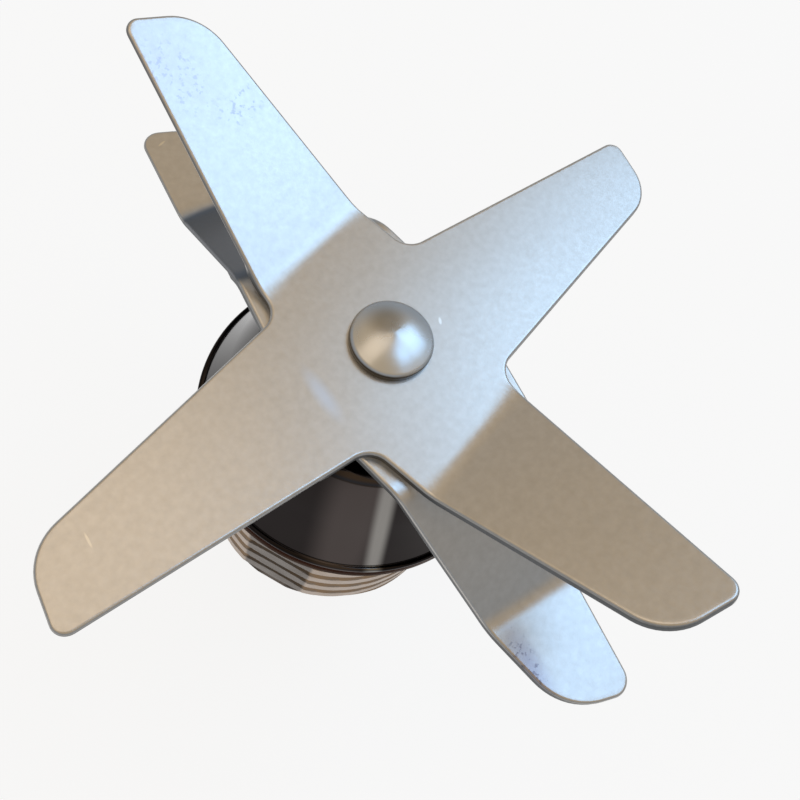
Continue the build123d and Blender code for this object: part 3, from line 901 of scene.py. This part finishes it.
@dataclass
class Housing:
    """Turned housing with its cone, flange and threaded shank, and the gasket under the flange."""

    # Bores, from the top down.
    seal_bore: float = 8.02
    seal_floor: float = 11.4
    web_bore: float = 6.6
    web_floor: float = 10.0
    bearing_bore: float = 11.02
    groove_radius: float = 11.62
    groove_top: float = -19.0
    groove_floor: float = -20.1
    mouth_chamfer: float = 0.6
    # Outside, from the top down.
    cone_top: float = 16.6
    cone_top_radius: float = 12.92
    cone_top_round: float = 1.2
    cone_floor: float = 4.0
    cone_base_radius: float = 18.4
    flange_radius: float = 19.0
    flange_edge: float = 0.35
    flange_floor: float = 1.5
    pilot_radius: float = 17.0
    pilot_floor: float = -3.0
    relief_radius: float = 15.8
    relief_floor: float = -5.486
    shank_chamfer: float = 1.0
    shank_floor: float = -24.0
    shank_flat: float = 16.15
    shank_flat_turn: float = 20.0
    edge_break: float = 0.08
    # Thread.
    thread_radius: float = 16.8
    thread_pitch: float = 4.0
    thread_depth: float = 0.9
    thread_root: float = 0.9
    thread_flank_angle: float = 30.0
    thread_start_turn: float = 57.0
    # Steps of the grid.
    thread_rows: int = 150
    columns: int = 288
    corner_steps: int = 5
    side_steps: int = 1
    # A painted brighter band and a painted bright streak of reflection down the cone, and painted shade on
    # the flats of the shank.
    # A flat's mark has the flat's width, and its depth and height times the cover.
    cone_reflection_stripes: tuple[Stripe, ...] = (Stripe(221.0, 9.0, "#4B4442", 0.3), Stripe(233.0, 2.8, "#8D8A86", 0.2))
    stripe_span: float = 60.0
    flat_shade_colour: str = "#5A524C"
    flat_core: float = 0.9
    flat_cover: float = 4.0
    mark_strength: float = 0.9
    # Turned, and painted dark brown as shade round and under the flange, with a dull reflection.
    flange_shade_finish: TurnedSteel = TurnedSteel(
        "turned_stainless_painted_shade", "#403936", "#322C2A", (0.3, 0.42), ring=0.2, ring_height=0.003,
        glancing_colour="#A89E98",
    )
    gasket_bore: float = 17.15
    gasket_radius: float = 18.6
    gasket_edge: float = 0.3
    gasket_corner_steps: int = 6
    gasket_side_steps: int = 3
    # Moulded silicone: dark grey, with a soft broad sheen.
    gasket_finish: MouldedPolymer = MouldedPolymer(
        "moulded_silicone_rubber", "#47423F", "#4F4A46", (0.42, 0.56), 1.41,
    )

    def profile(self) -> Array:
        """Half section of the housing, counterclockwise.

        Corners are arcs, and the third number of each is its radius. The shank's side is divided evenly,
        fine enough for the thread.

        Returns:
            Radius and height, one row each.
        """
        wall, chamfer, mouth = self.thread_radius, self.shank_chamfer, self.mouth_chamfer
        floor, sharp = self.shank_floor, self.edge_break
        corners = np.array([
            (self.bearing_bore + mouth, floor, sharp),
            (wall - chamfer, floor, sharp),
            (wall, floor + chamfer, sharp),
            (wall, self.relief_floor, sharp),
            (self.relief_radius, self.relief_floor, sharp),
            (self.relief_radius, self.pilot_floor, sharp),
            (self.pilot_radius, self.pilot_floor, sharp),
            (self.pilot_radius, 0.0, sharp),
            (self.relief_radius, 0.0, sharp),
            (self.relief_radius, self.flange_floor, sharp),
            (self.flange_radius, self.flange_floor, self.flange_edge),
            (self.flange_radius, self.cone_floor, self.flange_edge),
            (self.cone_base_radius, self.cone_floor, sharp),
            (self.cone_top_radius, self.cone_top, self.cone_top_round),
            (self.seal_bore, self.cone_top, sharp),
            (self.seal_bore, self.seal_floor, sharp),
            (self.web_bore, self.seal_floor, sharp),
            (self.web_bore, self.web_floor, sharp),
            (self.bearing_bore, self.web_floor, sharp),
            (self.bearing_bore, self.groove_top, sharp),
            (self.groove_radius, self.groove_top, sharp),
            (self.groove_radius, self.groove_floor, sharp),
            (self.bearing_bore, self.groove_floor, sharp),
            (self.bearing_bore, floor + mouth, sharp),
        ])
        points, _ = rounded_outline(corners[:, :2], corners[:, 2], self.corner_steps, self.side_steps)
        loop = np.concatenate([points, points[:1]])
        length = np.concatenate([[0.0], np.cumsum(np.linalg.norm(np.diff(loop, axis=0), axis=1))])
        shank = length[:-1][np.isclose(points[:, 0], wall)]
        places = np.union1d(length[:-1], np.linspace(shank.min(), shank.max(), self.thread_rows))
        return np.stack([np.interp(places, length, loop[:, i]) for i in range(2)], axis=-1)

    def groove(self, height: Array, angles: Array) -> Array:
        """Depth of the thread's groove.

        The groove's middle climbs one pitch a turn and ends in the middle of the relief. Within half its
        root width of that middle the groove is full deep, and its flanks rise evenly from there.

        Args:
            height: Heights along the shank, as a column.
            angles: Angles round the axis in radians.

        Returns:
            Depth under the crest, a row for each height.
        """
        middle = (self.pilot_floor + self.relief_floor) / 2
        turns = (angles[None, :] - np.radians(self.thread_start_turn)) / (2 * np.pi)
        phase = (height - middle) / self.thread_pitch - turns
        away = np.abs(phase - np.round(phase)) * self.thread_pitch
        flank = self.thread_depth * np.tan(np.radians(self.thread_flank_angle))
        return self.thread_depth * np.clip((self.thread_root / 2 + flank - away) / flank, 0, 1)

    def spun(self, profile: Array, angles: Array) -> Array:
        """Carries a profile round the axis, with thread and flats on the shank.

        Under the relief the thread's groove limits the radius. A flat limits it to its distance over the
        cosine of the angle from its middle.

        Args:
            profile: Radius and height, one row each.
            angles: Angles round the axis in radians.

        Returns:
            Grid of points.
        """
        radius, height = profile[:, :1], profile[:, 1:]
        crest = self.thread_radius - self.groove(height, angles)
        threaded = np.where(height <= self.relief_floor, np.minimum(radius, crest), radius)
        facing = np.abs(np.cos(angles - np.radians(self.shank_flat_turn)))[None, :]
        limit = np.where(height <= 0, self.shank_flat / np.maximum(facing, TINY), np.inf)
        return revolved(np.minimum(threaded, limit), height, angles)

    def zones(self, profile: Array) -> Array:
        """Finish of each row of faces, from the middle between its two profile points.

        The cone is polished down to the flange's upper edge, the outside from there to the relief is turned,
        and the shank and the inside have the finish of the thread.

        Args:
            profile: Radius and height, one row each.

        Returns:
            Number of the zone, one for each row of faces.
        """
        radius, height = ((profile + np.roll(profile, -1, axis=0)) / 2).T
        outside = radius > self.groove_radius + self.edge_break
        cone = (height > self.cone_floor - self.flange_edge) & (radius > self.seal_bore + self.edge_break)
        flange = outside & (height > self.relief_floor - self.edge_break)
        return np.select([cone, flange], [Zone.POLISHED.value, Zone.TURNED.value], Zone.THREADED.value)

    def mark(self, stripe: Stripe, reach: float, level: float, depth: float, height: float) -> Mark:
        """A stripe as a mark on the housing.

        Args:
            stripe: The stripe.
            reach: Distance of its middle from the axis.
            level: Height of its middle.
            depth: Its size outwards from the axis.
            height: Its size along the axis.

        Returns:
            The mark.
        """
        x, y = turned(np.array([reach, 0.0]), np.radians(stripe.turn))
        size = (depth, stripe.width, height)
        return Mark((x, y, level), stripe.turn, size, stripe.colour, self.mark_strength, stripe.core)

    def cone_finish(self) -> TurnedSteel:
        """Polished cone, painted near black as a dark reflection, with a painted brighter band and a painted
        streak of reflection.

        Returns:
            The finish.
        """
        reach = (self.cone_top_radius + self.cone_base_radius) / 2
        level = (self.cone_top + self.cone_floor) / 2
        span = self.stripe_span
        # The near-black colour and the stripes are painted reflection.
        return TurnedSteel(
            "polished_stainless_cone", "#2B2726", "#221E1E", (0.08, 0.13), ring=0.3, ring_height=0.0006,
            stain=8.0, anisotropy=0.6,
            marks=tuple(self.mark(stripe, reach, level, span, span) for stripe in self.cone_reflection_stripes),
        )

    def thread_finish(self) -> TurnedSteel:
        """Cut thread with its bare crests, and painted shade on the two flats.

        Returns:
            The finish.
        """
        width = 2 * np.sqrt(self.thread_radius**2 - self.shank_flat**2)
        depth = self.flat_cover * (self.thread_radius - self.shank_flat)
        height = -self.flat_cover * self.shank_floor
        turns = (self.shank_flat_turn, self.shank_flat_turn + HALF_TURN)
        # Painted shade on both flats.
        flats = [Stripe(turn, width, self.flat_shade_colour, self.flat_core) for turn in turns]
        level = self.shank_floor / 2
        return TurnedSteel(
            "cut_stainless_thread", "#B3A294", "#A59484", (0.36, 0.46), ring=0.3, stain=4.0,
            marks=tuple(self.mark(flat, self.shank_flat, level, depth, height) for flat in flats),
        )

    def even_angles(self) -> Array:
        """Evenly spaced angles round the axis, in radians."""
        return np.arange(self.columns) * 2 * np.pi / self.columns

    def angles(self) -> Array:
        """Evenly spaced angles with the edges of both flats among them.

        An edge lies as far from its flat's middle as the angle whose cosine is the flat's distance over the
        shank's radius.

        Returns:
            Angles in radians, in order.
        """
        half = np.arccos(self.shank_flat / self.thread_radius)
        middle = np.radians(self.shank_flat_turn)
        edges = np.array([middle - half, middle + half, middle - half + np.pi, middle + half + np.pi])
        return np.union1d(self.even_angles(), edges % (2 * np.pi))

    def build_body(self) -> None:
        """Makes the housing in place of its node, with a finish for each zone."""
        profile, angles = self.profile(), self.angles()
        body = make_piece("turned_housing", self.spun(profile, angles))
        rows = self.zones(profile)
        body.data.polygons.foreach_set("material_index", np.repeat(rows, len(angles)).astype(np.int32))
        finishes = {
            Zone.POLISHED: self.cone_finish(),
            # The turned zone's dark brown is painted shade.
            Zone.TURNED: self.flange_shade_finish,
            Zone.THREADED: self.thread_finish(),
        }
        materials = [finishes[zone].material() for zone in Zone]
        dress(body, Body.HOUSING, "housing_steel", "housing", *materials)

    def build_gasket(self) -> None:
        """Makes the gasket in place of its node, a rounded rectangle carried round the axis."""
        corners = np.array([
            (self.gasket_bore, 0.0),
            (self.gasket_radius, 0.0),
            (self.gasket_radius, self.flange_floor),
            (self.gasket_bore, self.flange_floor),
        ])
        radii = np.full(len(corners), self.gasket_edge)
        ring, _ = rounded_outline(corners, radii, self.gasket_corner_steps, self.gasket_side_steps)
        gasket = make_piece("moulded_gasket", revolved(ring[:, :1], ring[:, 1:], self.even_angles()))
        dress(gasket, Body.HOUSING, "gasket_rubber", "flange_gasket", self.gasket_finish.material())

    def build(self) -> None:
        """Makes the housing and the gasket."""
        self.build_body()
        self.build_gasket()


@dataclass
class BearingPack:
    """Seal, bearings, sleeves and retaining rings inside the housing."""

    # Each finish with the endings of the names of its nodes.
    kinds: tuple[tuple[TurnedSteel | MouldedPolymer, tuple[str, ...]], ...] = (
        # Ground: pale, with a tight bright highlight.
        (
            TurnedSteel("ground_bearing_steel", "#B9B9BC", "#ABABAF", (0.16, 0.24), ring=0.15),
            ("inner_ring", "outer_ring"),
        ),
        # Lapped: nearly a mirror.
        (
            TurnedSteel("lapped_bearing_balls", "#C8C8CC", "#BCBCC0", (0.05, 0.09), ring_height=0.0002),
            ("balls",),
        ),
        # Pressed from bright sheet: an even, soft reflection.
        (TurnedSteel("pressed_bright_steel", "#B4B4B4", "#A6A6A5", (0.22, 0.32)), ("seal_case", "shield")),
        # Turned and left bare: greyer and duller.
        (TurnedSteel("turned_sleeve_steel", "#A4A4A4", "#949392", (0.30, 0.40)), ("spacer",)),
        # Phosphated: dark grey, with hardly a reflection.
        (TurnedSteel("phosphated_spring_steel", "#4A4A4C", "#3F3F40", (0.42, 0.55)), ("spring", "circlip")),
        # Nylon: cream, with a waxy sheen.
        (MouldedPolymer("moulded_nylon", "#CBBF9F", "#C2B48F", (0.42, 0.52), 1.53), ("cage",)),
        # Nitrile: near black, with a soft broad sheen.
        (MouldedPolymer("moulded_nitrile_rubber", "#1C1C1D", "#242425", (0.50, 0.62), 1.52), ("seal_lip",)),
    )

    def build(self) -> None:
        """Dresses the inner nodes, each with the finish of its kind."""
        for finish, endings in self.kinds:
            dress_nodes(finish, *(name for name in NODES if name.endswith(endings)))


@dataclass(frozen=True)
class Softbox:
    """A level area light, placed by where it lies in a plane at this height over the unit, in metres."""

    name: str
    centre: tuple[float, float]
    size: tuple[float, float]
    turn: float
    colour: str
    brightness: float
    height: float = 1.0

    def build(self) -> None:
        """Hangs the light. Its power is its face's brightness times pi times its area."""
        light = bpy.data.lights.new(self.name, "AREA")
        light.shape = "RECTANGLE"
        light.size, light.size_y = self.size
        light.energy = self.brightness * np.pi * self.size[0] * self.size[1]
        light.color = linear(self.colour)[:3]
        lamp = bpy.data.objects.new(self.name, light)
        lamp.location = (*self.centre, self.height)
        lamp.rotation_euler.z = np.radians(self.turn)
        bpy.context.scene.collection.objects.link(lamp)


@dataclass
class Studio:
    """Floor, soft lights, room and camera."""

    # Camera: focal length, nearest distance seen, place, and turns about x, then y, then z.
    lens: float = 39.513
    nearest: float = 5.0
    eye: Point = (-38.65, -19.70, 98.60)
    turns: Point = (23.771, -11.997, -42.376)
    # Cool light of two windows and dim warm light of a ceiling, for the blades to reflect.
    lights: tuple[Softbox, ...] = (
        Softbox("window", (0.95, -0.125), (0.92, 0.85), 8.0, "#9CCFFC", 2.3),
        Softbox("side_window", (0.29, -0.31), (0.40, 0.50), 0.0, "#94CCFF", 2.05),
        Softbox("ceiling", (-0.2, 0.28), (0.9, 0.5), 0.0, "#FFEEDA", 0.6),
    )
    floor_reach: float = 3000.0
    floor_roughness: float = 0.8
    floor_colour: str = "#F4F3F1"
    # Painted shade: the floor turns to this grey further out.
    far_floor_shade_colour: str = "#D4D4D3"
    white_share: float = 0.86
    white_reach: tuple[float, float] = (195.0, 320.0)
    room_colour: str = "#C2AF92"
    horizon_colour: str = "#98A2AC"
    horizon_reach: tuple[float, float] = (0.25, 0.7)

    def camera(self) -> None:
        """Sets the camera where the photograph was taken from."""
        optics = bpy.data.cameras.new("camera")
        optics.lens = self.lens
        optics.clip_start = self.nearest / METRE
        camera = bpy.data.objects.new("camera", optics)
        turns = Euler(tuple(np.radians(self.turns)))
        camera.matrix_world = Matrix.LocRotScale(Vector(self.eye) / METRE, turns, None)
        bpy.context.scene.collection.objects.link(camera)
        bpy.context.scene.camera = camera

    def floor(self) -> None:
        """Lays a pale floor under the lowest point of the unit, white around it and greyer further out as
        painted shade.

        What the camera, reflections and glass see of it is mostly a plain white, and the rest is lit, so
        that it keeps the unit's shadow.
        """
        low, reach = CAD_BOX[0].z, self.floor_reach / METRE
        mesh = bpy.data.meshes.new("floor")
        corners = [(-reach, -reach, low), (reach, -reach, low), (reach, reach, low), (-reach, reach, low)]
        mesh.from_pydata(corners, [], [(0, 1, 2, 3)])
        floor = bpy.data.objects.new("floor", mesh)
        bpy.context.scene.collection.objects.link(floor)
        made, tree, place = new_material("pale_floor")
        ray = add_node(tree, "LightPath")
        seen = add_node(
            tree, "Math", {0: (ray, "Is Camera Ray"), 1: (ray, "Is Glossy Ray")}, operation="ADD",
        )
        shown = add_node(
            tree, "Math", {0: (seen, "Value"), 1: (ray, "Is Transmission Ray")}, operation="ADD",
        )
        away = add_node(tree, "VectorMath", {0: place}, operation="LENGTH")
        near, far = metres(*self.white_reach)
        close = add_node(
            tree, "MapRange",
            {"Value": (away, "Value"), "From Min": near, "From Max": far, "To Min": 1.0, "To Max": 0.0},
            interpolation_type="SMOOTHSTEP",
        )
        fade = add_node(tree, "Math", {0: (close, "Result"), 1: self.white_share}, operation="MULTIPLY")
        share = add_node(tree, "Math", {0: (shown, "Value"), 1: (fade, "Value")}, operation="MULTIPLY")
        tone = blended(tree, (close, "Result"), self.far_floor_shade_colour, self.floor_colour)
        lit = add_node(tree, "BsdfPrincipled", {"Base Color": tone, "Roughness": self.floor_roughness})
        white = add_node(tree, "Emission", {"Color": linear(WHITE), "Strength": 1.0})
        both = add_node(tree, "MixShader", {0: (share, "Value"), 1: (lit, "BSDF"), 2: (white, "Emission")})
        add_node(tree, "OutputMaterial", {"Surface": (both, "Shader")})
        mesh.materials.append(made)

    def room(self) -> None:
        """Surrounds the set with a dim warm room that is cooler and darker near the horizon."""
        world = bpy.data.worlds.new("room")
        world.use_nodes = True
        tree = world.node_tree
        tree.nodes.clear()
        view = add_node(tree, "TexCoord")
        split = add_node(tree, "SeparateXYZ", {0: (view, "Generated")})
        low, high = self.horizon_reach
        rise = add_node(tree, "MapRange", {"Value": (split, "Z"), "From Min": low, "From Max": high})
        tone = blended(tree, (rise, "Result"), self.horizon_colour, self.room_colour)
        glow = add_node(tree, "Background", {"Color": tone, "Strength": 1.0})
        add_node(tree, "OutputWorld", {"Surface": (glow, "Background")})
        bpy.context.scene.world = world

    def build(self) -> None:
        """Sets camera, floor, room and lights."""
        self.camera()
        self.floor()
        self.room()
        for light in self.lights:
            light.build()
        bpy.context.scene.view_settings.view_transform = "Standard"


def main() -> None:
    """Builds every sub-assembly, then the studio."""
    logging.basicConfig(level=logging.INFO, format="%(name)s: %(message)s")
    for assembly in (BladeStack(), Housing(), BearingPack(), Studio()):
        assembly.build()


if __name__ == "__main__":
    main()
